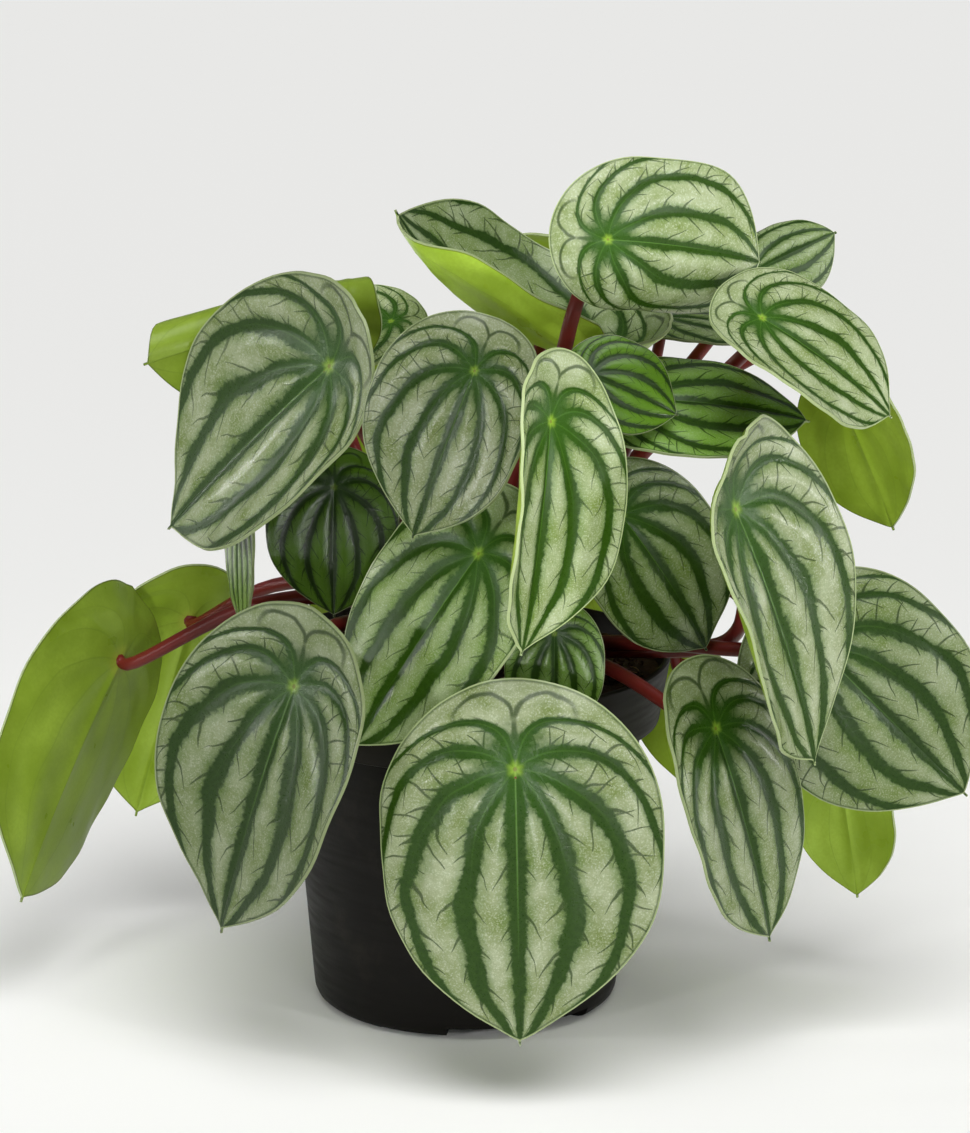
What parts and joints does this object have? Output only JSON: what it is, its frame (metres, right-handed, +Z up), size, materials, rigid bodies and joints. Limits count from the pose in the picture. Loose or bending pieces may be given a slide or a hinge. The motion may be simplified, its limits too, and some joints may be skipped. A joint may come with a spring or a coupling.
{
  "type": "potted plant",
  "caption": "Watermelon peperomia in a round tapered nursery pot: striped silver and green teardrop leaves on red stalks rise from a short crown in potting mix.",
  "frame": {"origin": "middle of the pot's underside, on the surface that the pot stands on", "axes": "+Z up, -Y towards the front that the picture shows, +X to the right seen from the front"},
  "size_m": [0.284, 0.21, 0.254],
  "materials": {
    "pot": "moulded black plastic, low sheen",
    "soil": "moist dark potting mix with pale bits and fibres",
    "petiole": "fleshy red-brown stalk, smooth and slightly glossy",
    "blade": "fleshy leaf, silver between dark green bands above, lime green below, satin"
  },
  "bodies": {
    "root": {"pot": "pot", "potting_soil": "soil", "crown_and_petioles": "petiole", "leaf_front_low": "blade", "leaf_left_low": "blade", "leaf_centre_low": "blade", "leaf_under_centre": "blade", "leaf_dark_left": "blade", "leaf_right_low": "blade", "leaf_right_far": "blade", "leaf_right_mid": "blade", "leaf_centre_left": "blade", "leaf_centre_narrow": "blade", "leaf_centre_right": "blade", "leaf_left_high": "blade", "leaf_inner_small": "blade", "leaf_inner_right": "blade", "leaf_top": "blade", "leaf_top_boat": "blade", "leaf_right_high": "blade", "leaf_top_back": "blade", "leaf_top_right_back": "blade", "leaf_top_gap": "blade", "leaf_left_roll": "blade", "leaf_left_back_high": "blade", "leaf_far_left": "blade", "leaf_left_round": "blade", "leaf_left_strip": "blade", "leaf_right_under": "blade", "leaf_right_low_under": "blade", "leaf_pot_under": "blade", "leaf_back_high": "blade", "leaf_back_left": "blade", "leaf_back_right": "blade", "leaf_back_low": "blade", "leaf_back_low_right": "blade"}
  },
  "joints": []
}
